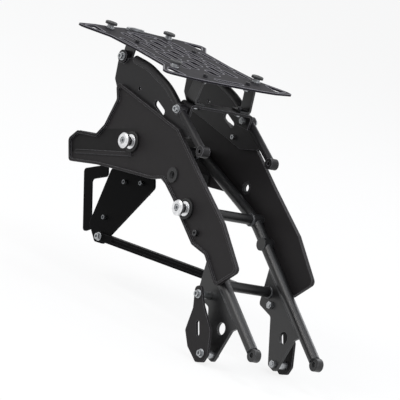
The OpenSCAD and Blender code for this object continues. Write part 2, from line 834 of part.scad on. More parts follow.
module gusset_screws() {
    grip = gusset_t + hang_t;
    color(silver) in_tail() {
        rotate([90, 0, 0]) for (p = gusset_screw_at) at(p, gusset_half) {
            socket_screw(small_d, grip + nut_share * small_d + spare);
            translate([0, 0, -grip - nut_share * small_d]) hex_nut(small_d);
        }
        for (p = tray_holes) translate([p[0], p[1], tray_t]) {
            socket_screw(small_d, tray_t + hang_t + nut_share * small_d + spare);
            translate([0, 0, -tray_t - hang_t - nut_share * small_d]) hex_nut(small_d);
        }
    }
}

module stay() {
    fork = gusset_t + 0.6;
    rear_fork = 42;
    front_fork = 24;
    groove_w = 6;
    groove_deep = 2.5;
    end = 11;
    color(black) on_side("right") at(stay_rear_at) rotate([0, 0, stay_angle]) difference() {
        translate([-end, -stay_h / 2, -stay_h / 2]) cube([stay_run + 2 * end, stay_h, stay_h]);
        translate([-end - cut, -stay_h, -fork / 2]) cube([rear_fork + cut, 2 * stay_h, fork]);
        translate([stay_run + end - front_fork, -stay_h, -fork / 2]) cube([front_fork + cut, 2 * stay_h, fork]);
        for (x = [0, stay_run]) translate([x, 0, -stay_h]) cylinder(d = big_d + hole_clear, h = 2 * stay_h);
        for (z = [-stay_h / 2 - cut, stay_h / 2 - groove_deep])
            translate([rear_fork, -groove_w / 2, z])
                cube([stay_run - rear_fork - front_fork, groove_w, groove_deep + cut]);
    }
}

module stay_bolts() {
    color(silver) on_side("right") for (p = [stay_rear_at, stay_front_bolt]) at(p, stay_h / 2)
        socket_screw(big_d, stay_h + nut_share * big_d + spare);
}

module stay_nuts() {
    color(silver) on_side("right") for (p = [stay_rear_at, stay_front_bolt])
        at(p, -stay_h / 2 - nut_share * big_d) hex_nut(big_d);
}

// Slotted foot brackets, held off the rail lugs by spacers
foot_in = rail_y + lug_t / 2 + foot_gap;
foot_outline = [
    [0, -9], [40, -16], [79, -40], [112, -34], [146, -12],
    [150, 10], [138, 24], [92, 33], [40, 14], [0, 9]
];
foot_slot_at = [82, -3];

module foot_bracket(side) {
    color(plate_grey) on_side(side) at(foot_top, foot_in) rotate([0, 0, foot_angle]) difference() {
        linear_extrude(foot_t) polygon(rounded(foot_outline, 8));
        at(foot_slot_at, -cut) oblong(foot_slot_len, foot_slot_w, foot_t + 2 * cut);
        for (p = foot_hole_at) at(p, -cut) cylinder(d = big_d + hole_clear, h = foot_t + 2 * cut);
    }
}

module foot_spacers() {
    color(silver) both_sides() for (p = foot_bolt_at) at(p, rail_y + lug_t / 2) difference() {
        cylinder(d = 2 * big_d, h = foot_gap);
        translate([0, 0, -cut]) cylinder(d = big_d + hole_clear, h = foot_gap + 2 * cut);
    }
}

foot_grip = foot_t + foot_gap + lug_t;

module foot_bolts() {
    color(silver) both_sides() for (p = foot_bolt_at) at(p, foot_in + foot_t)
        socket_screw(big_d, foot_grip + nut_share * big_d + spare);
}

module foot_nuts() {
    color(silver) both_sides() for (p = foot_bolt_at)
        at(p, rail_y - lug_t / 2 - nut_share * big_d) hex_nut(big_d);
}

rack_plate();
rear_catch();
stud_base(0);  // stud_base_front_left
stud_base(1);  // stud_base_front_right
stud_base(2);  // stud_base_rear_left
stud_base(3);  // stud_base_rear_right
stud_cap(0);  // stud_cap_front_left
stud_cap(1);  // stud_cap_front_right
stud_cap(2);  // stud_cap_rear_left
stud_cap(3);  // stud_cap_rear_right
front_leg("left");  // front_leg_left
front_leg("right");  // front_leg_right
rear_bracket("left");  // rear_bracket_left
rear_bracket("right");  // rear_bracket_right
rack_screws();
rack_nuts();
rear_bracket_bolts();
front_bridge();
bridge_bolts();
grab_rail("left");  // grab_rail_left
grab_rail("right");  // grab_rail_right
web_screws();
side_plate("left");  // side_plate_left
side_plate("right");  // side_plate_right
grommet("left");  // grommet_left
grommet("right");  // grommet_right
spool(upper_at, "left");  // upper_spool_left
spool(upper_at, "right");  // upper_spool_right
spool(lower_at, "left");  // lower_spool_left
spool(lower_at, "right");  // lower_spool_right
spool_bolt(upper_at, "left");  // upper_spool_bolt_left
spool_bolt(upper_at, "right");  // upper_spool_bolt_right
spool_bolt(lower_at, "left");  // lower_spool_bolt_left
spool_bolt(lower_at, "right");  // lower_spool_bolt_right
side_rail("left");  // side_rail_left
side_rail("right");  // side_rail_right
rail_screws();
upper_cross_tube();
middle_cross_tube();
lower_cross_tube();
tail_tray();
tray_screws();
gusset_hanger();
gusset_plate();
gusset_screws();
rear_brace();
stay();
stay_bolts();
stay_nuts();
foot_bracket("left");  // foot_bracket_left
foot_bracket("right");  // foot_bracket_right
foot_spacers();
foot_bolts();
foot_nuts();
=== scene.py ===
import json
import math
import bmesh
import bpy
from mathutils import Matrix, Vector


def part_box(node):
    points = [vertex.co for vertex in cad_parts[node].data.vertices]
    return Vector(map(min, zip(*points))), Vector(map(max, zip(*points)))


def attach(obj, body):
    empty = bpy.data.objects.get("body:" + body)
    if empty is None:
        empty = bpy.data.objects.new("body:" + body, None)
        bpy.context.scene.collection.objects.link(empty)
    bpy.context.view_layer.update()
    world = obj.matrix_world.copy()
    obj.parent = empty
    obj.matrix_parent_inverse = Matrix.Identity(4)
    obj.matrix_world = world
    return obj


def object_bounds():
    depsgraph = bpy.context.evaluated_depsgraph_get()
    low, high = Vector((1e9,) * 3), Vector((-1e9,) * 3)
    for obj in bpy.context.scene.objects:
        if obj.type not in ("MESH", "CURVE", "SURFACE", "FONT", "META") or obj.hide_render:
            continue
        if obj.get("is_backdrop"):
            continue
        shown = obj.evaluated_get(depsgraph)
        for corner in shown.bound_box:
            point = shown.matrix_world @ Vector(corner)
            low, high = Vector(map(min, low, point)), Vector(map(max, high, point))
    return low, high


mm = 0.001
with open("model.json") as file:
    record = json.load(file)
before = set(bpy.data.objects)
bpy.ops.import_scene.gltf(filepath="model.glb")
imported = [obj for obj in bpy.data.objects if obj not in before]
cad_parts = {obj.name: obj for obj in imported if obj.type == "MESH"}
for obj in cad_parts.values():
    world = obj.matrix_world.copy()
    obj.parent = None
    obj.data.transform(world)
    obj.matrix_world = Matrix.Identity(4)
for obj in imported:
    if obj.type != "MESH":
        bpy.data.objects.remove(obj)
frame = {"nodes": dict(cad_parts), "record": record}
cadLow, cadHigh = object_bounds()
nodes = frame["nodes"]
print("frame in:", len(nodes), "nodes")


# Camera and light

shot = {
    "azimuth": 50.0,  # degrees round from the right side towards the front, as the photo looks
    "elevation": 10.0,
    "roll": 18.0,  # the photo shows the rack tipped clockwise
    "distance": 12.0,  # far off on a long lens, because the photo shows hardly any perspective
    "lens": 560.0,
    "aim": (0.1985, -0.0197, -0.228),
    "clipEnd": 200.0,
}


def addCamera():
    a, e, roll = (math.radians(shot[k]) for k in ("azimuth", "elevation", "roll"))
    back = Vector((math.sin(a) * math.cos(e), -math.cos(a) * math.cos(e), math.sin(e)))
    flatRight = Vector((math.cos(a), math.sin(a), 0))
    flatUp = back.cross(flatRight)
    right = flatRight * math.cos(roll) + flatUp * math.sin(roll)
    up = back.cross(right)
    data = bpy.data.cameras.new("shotCamera")
    data.lens = shot["lens"]
    data.clip_end = shot["clipEnd"]
    cam = bpy.data.objects.new("shotCamera", data)
    turn = Matrix((right, up, back)).transposed().to_4x4()
    cam.matrix_world = Matrix.Translation(Vector(shot["aim"]) + back * shot["distance"]) @ turn
    bpy.context.scene.collection.objects.link(cam)
    bpy.context.scene.camera = cam


# an sRGB hex value as the linear colour that nodes take
def linear(hexColour):
    parts = [int(hexColour[i:i + 2], 16) / 255 for i in (1, 3, 5)]
    return tuple(c / 12.92 if c <= 0.04045 else ((c + 0.055) / 1.055) ** 2.4 for c in parts) + (1.0,)


def addNode(tree, kind, settings=None, links=None):
    node = tree.nodes.new(kind)
    for key, value in (settings or {}).items():
        if isinstance(key, str) and hasattr(node, key):
            setattr(node, key, value)
        else:
            node.inputs[key].default_value = value
    for key, source in (links or {}).items():
        tree.links.new(source, node.inputs[key])
    return node


studio = {
    "sky": "#f3f5f7",
    "ground": "#a9aaac",
    "groundTo": -0.4,  # the sky's colour begins at this height and is full at the next, straight up being 1
    "skyFrom": 0.9,
    "fill": 0.78,
    "backdrop": "#ffffff",
    "floorColour": "#f0f0f0",
    "floorHalf": 60.0,
    "floorLift": 0.82,  # how far the floor is lifted to the backdrop's white where it is only looked at
}

# place, aim, width and height in metres, power in watts
lamps = {
    "keyLamp": {"place": (-0.7, -2.5, 2.4), "aim": (0.15, 0, -0.2), "size": (1.8, 1.4),
                "power": 52.0, "colour": "#fffdfc"},
    "edgeLamp": {"place": (2.6, 0.4, 0.9), "aim": (0.2, 0, -0.2), "size": (0.4, 1.8),
                 "power": 16.0, "colour": "#f7f9ff"},
    "sideLamp": {"place": (-0.4, 2.6, 1.3), "aim": (0.15, 0, -0.25), "size": (1.6, 1.2),
                 "power": 20.0, "colour": "#f7f9ff"},
    "topLamp": {"place": (1.3, -0.5, 2.6), "aim": (0.15, 0, -0.1), "size": (1.4, 1.0),
                "power": 26.0, "colour": "#f3f7ff"},
}


# 1 for rays that see the backdrop, straight, mirrored or through glass, and 0 for those that light the object
def addSeenMask(tree):
    path = addNode(tree, "ShaderNodeLightPath")
    direct = addNode(tree, "ShaderNodeMath", {"operation": "MAXIMUM"},
                     {0: path.outputs["Is Camera Ray"], 1: path.outputs["Is Transmission Ray"]})
    return addNode(tree, "ShaderNodeMath", {"operation": "MAXIMUM"},
                   {0: direct.outputs[0], 1: path.outputs["Is Glossy Ray"]}).outputs[0]


def addWorld():
    world = bpy.data.worlds.new("softStudio")
    bpy.context.scene.world = world
    world.use_nodes = True
    tree = world.node_tree
    tree.nodes.clear()
    way = addNode(tree, "ShaderNodeTexCoord")
    split = addNode(tree, "ShaderNodeSeparateXYZ", links={0: way.outputs["Generated"]})
    height = addNode(tree, "ShaderNodeMapRange", {"From Min": studio["groundTo"], "From Max": studio["skyFrom"]},
                     {"Value": split.outputs["Z"]})
    sky = addNode(tree, "ShaderNodeMix",
                  {"data_type": "RGBA", 6: linear(studio["ground"]), 7: linear(studio["sky"])},
                  {0: height.outputs["Result"]})
    lit = addNode(tree, "ShaderNodeBackground", {"Strength": studio["fill"]}, {"Color": sky.outputs[2]})
    plain = addNode(tree, "ShaderNodeBackground", {"Color": linear(studio["backdrop"]), "Strength": 1.0})
    mix = addNode(tree, "ShaderNodeMixShader",
                  links={0: addSeenMask(tree), 1: lit.outputs[0], 2: plain.outputs[0]})
    addNode(tree, "ShaderNodeOutputWorld", links={0: mix.outputs[0]})


def addLamp(name, settings):
    data = bpy.data.lights.new(name, "AREA")
    data.shape = "RECTANGLE"
    data.size, data.size_y = settings["size"]
    data.energy = settings["power"]
    data.color = linear(settings["colour"])[:3]
    lamp = bpy.data.objects.new(name, data)
    lamp.location = settings["place"]
    way = Vector(settings["aim"]) - Vector(settings["place"])
    lamp.rotation_euler = way.to_track_quat("-Z", "Y").to_euler()
    bpy.context.scene.collection.objects.link(lamp)


def addFloor():
    half, z = studio["floorHalf"], cadLow[2]
    corners = [(-half, -half, z), (half, -half, z), (half, half, z), (-half, half, z)]
    mesh = bpy.data.meshes.new("floor")
    mesh.from_pydata(corners, [], [(0, 1, 2, 3)])
    floor = bpy.data.objects.new("floor", mesh)
    bpy.context.scene.collection.objects.link(floor)
    paper = bpy.data.materials.new("backgroundPaper")
    paper.use_nodes = True
    tree = paper.node_tree
    shader = tree.nodes["Principled BSDF"]
    shader.inputs["Base Color"].default_value = linear(studio["floorColour"])
    shader.inputs["Roughness"].default_value = 0.9
    shader.inputs["Specular IOR Level"].default_value = 0.2
    glow = addNode(tree, "ShaderNodeEmission", {"Color": linear(studio["backdrop"]), "Strength": 1.0})
    lift = addNode(tree, "ShaderNodeMath", {"operation": "MULTIPLY", 1: studio["floorLift"]},
                   {0: addSeenMask(tree)})
    mix = addNode(tree, "ShaderNodeMixShader",
                  links={0: lift.outputs[0], 1: shader.outputs[0], 2: glow.outputs[0]})
    tree.links.new(mix.outputs[0], tree.nodes["Material Output"].inputs["Surface"])
    mesh.materials.append(paper)
    floor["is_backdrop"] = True


addCamera()
addWorld()
for lampName, lampSettings in lamps.items():
    addLamp(lampName, lampSettings)
addFloor()
bpy.context.scene.view_settings.view_transform = "Standard"
print("camera and lights ready")


# Materials

# an edge shows where the softened normal turns away from the flat face's own
edgeFinder = {
    "samples": 4,
    "wornAndHighlightAt": 0.80,  # cosine of that turn where an edge counts as fully worn and takes the full painted highlight
    "flatAt": 0.995,
}


def startMaterial(name):
    material = bpy.data.materials.new(name)
    material.use_nodes = True
    tree = material.node_tree
    shader = tree.nodes["Principled BSDF"]
    place = addNode(tree, "ShaderNodeTexCoord").outputs["Object"]
    return material, tree, shader, place


# links colour, roughness and relief to the shader, and softens edges to a small radius where one is given
def finishSurface(tree, shader, colour, roughness, height, strength, depth, edgeRadius=0.0):
    relief = {"Height": height}
    if edgeRadius:
        soft = addNode(tree, "ShaderNodeBevel", {"samples": edgeFinder["samples"], "Radius": edgeRadius})
        relief["Normal"] = soft.outputs[0]
    bump = addNode(tree, "ShaderNodeBump", {"Strength": strength, "Distance": depth}, relief)
    tree.links.new(colour.outputs[2], shader.inputs["Base Color"])
    tree.links.new(roughness.outputs[0], shader.inputs["Roughness"])
    tree.links.new(bump.outputs[0], shader.inputs["Normal"])


# 0 on the flats, rising to 1 on the edges
def addEdgeMask(tree, radius):
    soft = addNode(tree, "ShaderNodeBevel", {"samples": edgeFinder["samples"], "Radius": radius})
    flat = addNode(tree, "ShaderNodeNewGeometry")
    same = addNode(tree, "ShaderNodeVectorMath", {"operation": "DOT_PRODUCT"},
                   {0: soft.outputs[0], 1: flat.outputs["True Normal"]})
    mask = addNode(tree, "ShaderNodeMapRange",
                   {"From Min": edgeFinder["flatAt"], "From Max": edgeFinder["wornAndHighlightAt"]},
                   {"Value": same.outputs["Value"]})
    return mask.outputs[0]


powderCoat = {
    "peel": 1.6 * mm,  # width of one ripple in the baked coat
    "peelDepth": 0.3 * mm,
    "cloud": 45 * mm,  # patches of dust on faces that look up
    "dustShare": 0.55,  # how dusty a level face is at most
    "dust": 9 * mm,  # breaks in the rubbed, painted-highlight edges and in the sheen
    # least share of the paler edge colour, which is worn paint and painted highlight
    "leastWearAndHighlight": 0.35,
    "edgeRadius": 1.7 * mm,
    "ior": 1.5,
}

# the side plates' tail end, darkened nearly to black between its upper edge and the swage, fading out towards
# the front
tailPanel = {
    "colour": "#050405",
    "rise": 0.35,  # its edges climb towards the front as the swage does
    "bottom": -206 * mm,
    "top": -159 * mm,
    "blackTo": -5 * mm,
    "fadeTo": 60 * mm,
}


def addTailPanel(tree, place, coat):
    low, high = tailPanel["bottom"], tailPanel["top"]
    split = addNode(tree, "ShaderNodeSeparateXYZ", links={0: place})
    level = addNode(tree, "ShaderNodeMath", {"operation": "MULTIPLY_ADD", 1: -tailPanel["rise"]},
                    {0: split.outputs["X"], 2: split.outputs["Z"]})
    between = addNode(tree, "ShaderNodeMath",
                      {"operation": "COMPARE", 1: (low + high) / 2, 2: (high - low) / 2},
                      {0: level.outputs[0]})
    behind = addNode(tree, "ShaderNodeMapRange",
                     {"From Min": tailPanel["fadeTo"], "From Max": tailPanel["blackTo"]},
                     {"Value": split.outputs["X"]})
    share = addNode(tree, "ShaderNodeMath", {"operation": "MULTIPLY"},
                    {0: between.outputs[0], 1: behind.outputs[0]})
    return addNode(tree, "ShaderNodeMix", {"data_type": "RGBA", 7: linear(tailPanel["colour"])},
                   {0: share.outputs[0], 6: coat.outputs[2]})


# Powder coat: baked polyester on metal, with a fine orange peel, paler along its edges, partly rubbed wear and
# partly a painted highlight
def powderCoatMaterial(name, base, wornAndHighlight, dusty, roughness, peel, wearAndHighlight, specular, hasPanel=False):
    material, tree, shader, place = startMaterial(name)
    cloud = addNode(tree, "ShaderNodeTexNoise", {"Scale": 1 / powderCoat["cloud"], "Detail": 4.0},
                    {"Vector": place})
    dust = addNode(tree, "ShaderNodeTexNoise",
                   {"Scale": 1 / powderCoat["dust"], "Detail": 6.0, "Roughness": 0.65}, {"Vector": place})
    ripple = addNode(tree, "ShaderNodeTexNoise", {"Scale": 1 / powderCoat["peel"], "Detail": 1.0},
                     {"Vector": place})
    face = addNode(tree, "ShaderNodeNewGeometry")
    facing = addNode(tree, "ShaderNodeSeparateXYZ", links={0: face.outputs["Normal"]})
    upward = addNode(tree, "ShaderNodeMapRange",
                     {"From Min": 0.1, "From Max": 1.0, "To Max": powderCoat["dustShare"]},
                     {"Value": facing.outputs["Z"]})
    patch = addNode(tree, "ShaderNodeMapRange", {"From Min": 0.38, "From Max": 0.72},
                    {"Value": cloud.outputs[0]})
    film = addNode(tree, "ShaderNodeMath", {"operation": "MULTIPLY"},
                   {0: upward.outputs[0], 1: patch.outputs[0]})
    coat = addNode(tree, "ShaderNodeMix", {"data_type": "RGBA", 6: linear(base), 7: linear(dusty)},
                   {0: film.outputs[0]})
    if hasPanel:
        coat = addTailPanel(tree, place, coat)
    # edges are made paler: partly wear, partly a painted highlight
    edge = addEdgeMask(tree, powderCoat["edgeRadius"])
    rubAndHighlight = addNode(tree, "ShaderNodeMapRange",
                  {"From Min": 0.3, "From Max": 0.75, "To Min": powderCoat["leastWearAndHighlight"], "To Max": wearAndHighlight},
                  {"Value": dust.outputs[0]})
    rubbedAndHighlight = addNode(tree, "ShaderNodeMath", {"operation": "MULTIPLY"}, {0: edge, 1: rubAndHighlight.outputs[0]})
    colour = addNode(tree, "ShaderNodeMix", {"data_type": "RGBA", 7: linear(wornAndHighlight)},
                     {0: rubbedAndHighlight.outputs[0], 6: coat.outputs[2]})
    sheen = addNode(tree, "ShaderNodeMapRange", {"To Min": roughness - 0.06, "To Max": roughness + 0.08},
                    {"Value": dust.outputs[0]})
    finishSurface(tree, shader, colour, sheen, ripple.outputs[0], peel, powderCoat["peelDepth"],
                  powderCoat["edgeRadius"])
    shader.inputs["IOR"].default_value = powderCoat["ior"]
    shader.inputs["Specular IOR Level"].default_value = specular  # matted with fillers, so it mirrors little
    return material


turnedSteel = {
    "ring": 0.8 * mm,  # pitch of the lathe marks, drawn coarser than the real 0.2 mm so that they show
    "ringBump": 0.12,
    "ringDepth": 0.05 * mm,
    "waveLength": 0.314,  # one ring of the wave texture at a scale of 1
    "stain": 6 * mm,
    "edgeRadius": 0.5 * mm,
    # colour of a spool's black foot and of the painted shade in its neck
    "black": "#101011",
}


# Zinc-plated steel, turned on a lathe: bright, with fine rings that stretch the highlights
# A spool is black round its foot, and its neck is coloured black as painted shade
def turnedSteelMaterial(name, bright, dull, roughness, centre=(0, 0, 0), blackFootAndNeckShade=None):
    material, tree, shader, place = startMaterial(name)
    moved = addNode(tree, "ShaderNodeVectorMath", {"operation": "SUBTRACT", 1: centre}, {0: place})
    rings = addNode(tree, "ShaderNodeTexWave",
                    {"wave_type": "RINGS", "rings_direction": "Y", "Distortion": 0.6, "Detail": 2.0,
                     "Scale": turnedSteel["waveLength"] / turnedSteel["ring"]},
                    {"Vector": moved.outputs[0]})
    stain = addNode(tree, "ShaderNodeTexNoise", {"Scale": 1 / turnedSteel["stain"], "Detail": 5.0},
                    {"Vector": place})
    tone = addNode(tree, "ShaderNodeMapRange", {"From Min": 0.35, "From Max": 0.8},
                   {"Value": stain.outputs[0]})
    colour = addNode(tree, "ShaderNodeMix", {"data_type": "RGBA", 6: linear(bright), 7: linear(dull)},
                     {0: tone.outputs[0]})
    rough = addNode(tree, "ShaderNodeMapRange", {"To Min": roughness - 0.07, "To Max": roughness + 0.12},
                    {"Value": stain.outputs[0]})
    # the foot is coloured black, and the neck black as painted shade; neither is metallic
    if blackFootAndNeckShade:
        low, high = blackFootAndNeckShade["neckShadeFrom"], blackFootAndNeckShade["neckShadeTo"]
        split = addNode(tree, "ShaderNodeSeparateXYZ", links={0: place})
        reach = addNode(tree, "ShaderNodeMath", {"operation": "ABSOLUTE"}, {0: split.outputs["Y"]})
        clear = addNode(tree, "ShaderNodeMath", {"operation": "GREATER_THAN", 1: blackFootAndNeckShade["footTo"]},
                        {0: reach.outputs[0]})
        # the neck, coloured black as painted shade
        neckShade = addNode(tree, "ShaderNodeMath",
                       {"operation": "COMPARE", 1: (low + high) / 2, 2: (high - low) / 2},
                       {0: reach.outputs[0]})
        bare = addNode(tree, "ShaderNodeMath", {"operation": "GREATER_THAN"},
                       {0: clear.outputs[0], 1: neckShade.outputs[0]})
        colour = addNode(tree, "ShaderNodeMix", {"data_type": "RGBA", 6: linear(turnedSteel["black"])},
                         {0: bare.outputs[0], 7: colour.outputs[2]})
        tree.links.new(bare.outputs[0], shader.inputs["Metallic"])
    else:
        shader.inputs["Metallic"].default_value = 1.0
    finishSurface(tree, shader, colour, rough, rings.outputs[0], turnedSteel["ringBump"],
                  turnedSteel["ringDepth"], turnedSteel["edgeRadius"])
    return material


mouldedPlastic = {
    "scuff": 18 * mm,
    "scuffAndHighlightEdge": 0.8 * mm,
    "grainBump": 0.25,
    "grainDepth": 0.12 * mm,
    "edgeRadius": 0.7 * mm,
}


# Moulded nylon or ABS: matt from a spark-eroded mould, greyer where it is scuffed, and paler along its edges as
# a painted highlight
# Its grain is drawn coarser than the real 0.2 mm, so that it shows
def mouldedPlasticMaterial(name, base, scuffedAndHighlight, grain, roughness):
    material, tree, shader, place = startMaterial(name)
    cells = addNode(tree, "ShaderNodeTexVoronoi", {"Scale": 1 / grain, "feature": "SMOOTH_F1"},
                    {"Vector": place})
    scuff = addNode(tree, "ShaderNodeTexNoise",
                    {"Scale": 1 / mouldedPlastic["scuff"], "Detail": 6.0, "Roughness": 0.7},
                    {"Vector": place})
    tone = addNode(tree, "ShaderNodeMapRange", {"From Min": 0.45, "From Max": 0.75},
                   {"Value": scuff.outputs[0]})
    # edges take the paler colour: partly scuffs, partly a painted highlight
    edge = addEdgeMask(tree, mouldedPlastic["scuffAndHighlightEdge"])
    either = addNode(tree, "ShaderNodeMath", {"operation": "MAXIMUM"}, {0: tone.outputs[0], 1: edge})
    colour = addNode(tree, "ShaderNodeMix", {"data_type": "RGBA", 6: linear(base), 7: linear(scuffedAndHighlight)},
                     {0: either.outputs[0]})
    rough = addNode(tree, "ShaderNodeMapRange", {"To Min": roughness - 0.08, "To Max": roughness + 0.1},
                    {"Value": scuff.outputs[0]})
    finishSurface(tree, shader, colour, rough, cells.outputs["Distance"], mouldedPlastic["grainBump"],
                  mouldedPlastic["grainDepth"], mouldedPlastic["edgeRadius"])
    return material


rubber = {
    "base": "#141415",
    "bloomed": "#2b2b2c",
    "bloom": 7 * mm,
    "bloomBump": 0.2,
    "bloomDepth": 0.1 * mm,
}


# EPDM rubber: moulded, with a dull bloom
def rubberMaterial(name):
    material, tree, shader, place = startMaterial(name)
    bloom = addNode(tree, "ShaderNodeTexNoise", {"Scale": 1 / rubber["bloom"], "Detail": 5.0},
                    {"Vector": place})
    colour = addNode(tree, "ShaderNodeMix",
                     {"data_type": "RGBA", 6: linear(rubber["base"]), 7: linear(rubber["bloomed"])},
                     {0: bloom.outputs[0]})
    rough = addNode(tree, "ShaderNodeMapRange", {"To Min": 0.6, "To Max": 0.85},
                    {"Value": bloom.outputs[0]})
    finishSurface(tree, shader, colour, rough, bloom.outputs[0], rubber["bloomBump"], rubber["bloomDepth"])
    return material


rackCoat = powderCoatMaterial("rackPowderCoat", base="#131116", wornAndHighlight="#8d8b92", dusty="#222025",
                              roughness=0.6, peel=0.07, wearAndHighlight=0.85, specular=0.12)
# the lips' paler coat is a painted highlight along the slot edges, with worn edges as well
lipHighlightCoat = powderCoatMaterial("rubbedAndHighlightedRackPowderCoat", base="#525056", wornAndHighlight="#b4b3b8", dusty="#68666c",
                             roughness=0.5, peel=0.05, wearAndHighlight=0.9, specular=0.3)
frameCoat = powderCoatMaterial("framePowderCoat", base="#121213", wornAndHighlight="#6c6d71", dusty="#242426",
                               roughness=0.34, peel=0.05, wearAndHighlight=0.8, specular=0.5)
castCoat = powderCoatMaterial("castRailPowderCoat", base="#0f0e10", wornAndHighlight="#98969b", dusty="#211f22",
                              roughness=0.44, peel=0.14, wearAndHighlight=0.95, specular=0.26)
plateCoat = powderCoatMaterial("sidePlatePowderCoat", base="#1c1a1b", wornAndHighlight="#7f7e82", dusty="#2b292b",
                               roughness=0.56, peel=0.09, wearAndHighlight=0.9, specular=0.19, hasPanel=True)
stayCoat = powderCoatMaterial("satinBlackPowderCoat", base="#040405", wornAndHighlight="#47474a", dusty="#0a0a0b",
                              roughness=0.48, peel=0.04, wearAndHighlight=0.8, specular=0.04)
screwSteel = turnedSteelMaterial("zincScrewSteel", bright="#b9bbbd", dull="#7f8285", roughness=0.36)
blackSteel = turnedSteelMaterial("blackZincScrewSteel", bright="#4a4a4d", dull="#2a2a2c", roughness=0.42)
dullSteel = turnedSteelMaterial("dullZincScrewSteel", bright="#85878a", dull="#595b5e", roughness=0.45)
capNylon = mouldedPlasticMaterial("mouldedNylon", base="#161617", scuffedAndHighlight="#38393b",
                                  grain=0.8 * mm, roughness=0.5)
ringNylon = mouldedPlasticMaterial("seatRingNylon", base="#050506", scuffedAndHighlight="#141415",
                                   grain=0.8 * mm, roughness=0.6)
trayPlastic = mouldedPlasticMaterial("mouldedTrayPlastic", base="#151516", scuffedAndHighlight="#2b2c2d",
                                     grain=1.2 * mm, roughness=0.6)
grommetRubber = rubberMaterial("grommetRubber")
print("materials ready")


# Dressing the frame

# middle of a node's box, moved to the middle plane
def middleOf(nodeName):
    boxLow, boxHigh = (Vector(corner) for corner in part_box(nodeName))
    return (boxLow.x + boxHigh.x) / 2, 0, (boxLow.z + boxHigh.z) / 2


# where a spool is black round its foot, and where its neck is coloured black as painted shade, as distances from
# the middle plane
spoolBlackAndNeckShade = {"footTo": 101 * mm, "neckShadeFrom": 103.3 * mm, "neckShadeTo": 112.6 * mm}

slotFinish = {
    "rack": rackCoat,
    "black_frame": frameCoat,
    "grey_frame": plateCoat,
    "bright": screwSteel,
    "cap": capNylon,
    "seal": grommetRubber,
}

# nodes with a finish of their own
nodeFinish = {
    "tail_tray": trayPlastic,
    "gusset_plate": stayCoat,
    "gusset_hanger": stayCoat,
    "rear_brace": stayCoat,
    "stay": stayCoat,
    "grab_rail_left": castCoat,
    "grab_rail_right": castCoat,
    "front_bridge": castCoat,
    "gusset_screws": dullSteel,
    "rack_screws": blackSteel,
}
for row in ("upper", "lower"):
    spoolSteel = turnedSteelMaterial(row + "SpoolSteel", bright="#ececed", dull="#bfc1c4", roughness=0.28,
                                     centre=middleOf(row + "_spool_right"), blackFootAndNeckShade=spoolBlackAndNeckShade)
    for side in ("left", "right"):
        nodeFinish[f"{row}_spool_{side}"] = spoolSteel

for part in frame["record"]["subparts"]:
    finish = nodeFinish.get(part["node"], slotFinish[part["material_slot"]])
    mesh = nodes[part["node"]].data
    mesh.materials.clear()
    mesh.materials.append(finish)
print("frame dressed")


# Small pieces: pressed lips, weld beads, washers and seat rings

bead = {
    "pitch": 2.2 * mm,  # from one crescent ripple to the next
    "crescent": 0.9,  # how far a ripple bows along the bead, in radii
    "step": 0.7 * mm,
    "fewestSteps": 12,
    "sides": 8,
    "tip": 0.35,  # share of its radius that an open bead keeps at its very end
    "ringSteps": 72,
}


# a mesh swept along points: round in section, with the crescent ripples of a weld where ripple is above 0
# flat is its height as a share of its width, and inward shifts it to the left of its path
def sweepBead(points, closed, up, radius, ripple=0.0, step=bead["step"], flat=1.0, inward=0.0):
    points = [Vector(p) for p in points]
    if closed:
        points.append(points[0])
    marks = [0.0]
    for a, b in zip(points, points[1:]):
        marks.append(marks[-1] + (b - a).length)
    total = marks[-1]
    count = max(bead["fewestSteps"], round(total / step))
    stations, k = [], 0
    for i in range(count if closed else count + 1):
        s = total * i / count
        while marks[k + 1] < s and k < len(points) - 2:
            k += 1
        share = (s - marks[k]) / max(marks[k + 1] - marks[k], 1e-9)
        way = (points[k + 1] - points[k]).normalized()
        stations.append((s, points[k].lerp(points[k + 1], share), way))
    up = Vector(up).normalized()
    sides = bead["sides"]
    verts, faces = [], []
    for i, (s, p, way) in enumerate(stations):
        ahead, behind = stations[(i + 1) % len(stations)][2], stations[i - 1][2]
        way = (way + (ahead + behind if closed or 0 < i < count else way)).normalized()
        side = way.cross(up).normalized()
        ends = 1.0 if closed else min(1.0, bead["tip"] + min(s, total - s) / (2 * radius))
        for j in range(sides):
            turn = 2 * math.pi * j / sides
            wave = ((s + bead["crescent"] * radius * math.cos(turn)) / bead["pitch"]) % 1.0
            r = radius * ends * (1 + ripple * (0.5 - wave))
            verts.append(p + side * (r * math.cos(turn) - inward) + up * (flat * r * math.sin(turn)))
    rows = len(stations)
    for i in range(rows if closed else rows - 1):
        for j in range(sides):
            a, b = i * sides + j, i * sides + (j + 1) % sides
            c, d = ((i + 1) % rows) * sides + (j + 1) % sides, ((i + 1) % rows) * sides + j
            faces.append((a, b, c, d))
    if not closed:
        faces.append(tuple(range(sides - 1, -1, -1)))
        faces.append(tuple((rows - 1) * sides + j for j in range(sides)))
    return verts, faces


# a turned form about an axis: its profile is (radius, height) pairs, closed on itself
def turnProfile(profile, centre, axis, steps):
    axis = Vector(axis).normalized()
    across = axis.orthogonal().normalized()
    other = axis.cross(across)
    verts, faces = [], []
    for i in range(steps):
        turn = 2 * math.pi * i / steps
        way = across * math.cos(turn) + other * math.sin(turn)
        verts += [Vector(centre) + way * r + axis * h for r, h in profile]
    n = len(profile)
    for i in range(steps):
        for j in range(n):
            a, b = i * n + j, i * n + (j + 1) % n
            faces.append((a, b, (i + 1) % steps * n + (j + 1) % n, (i + 1) % steps * n + j))
    return verts, faces


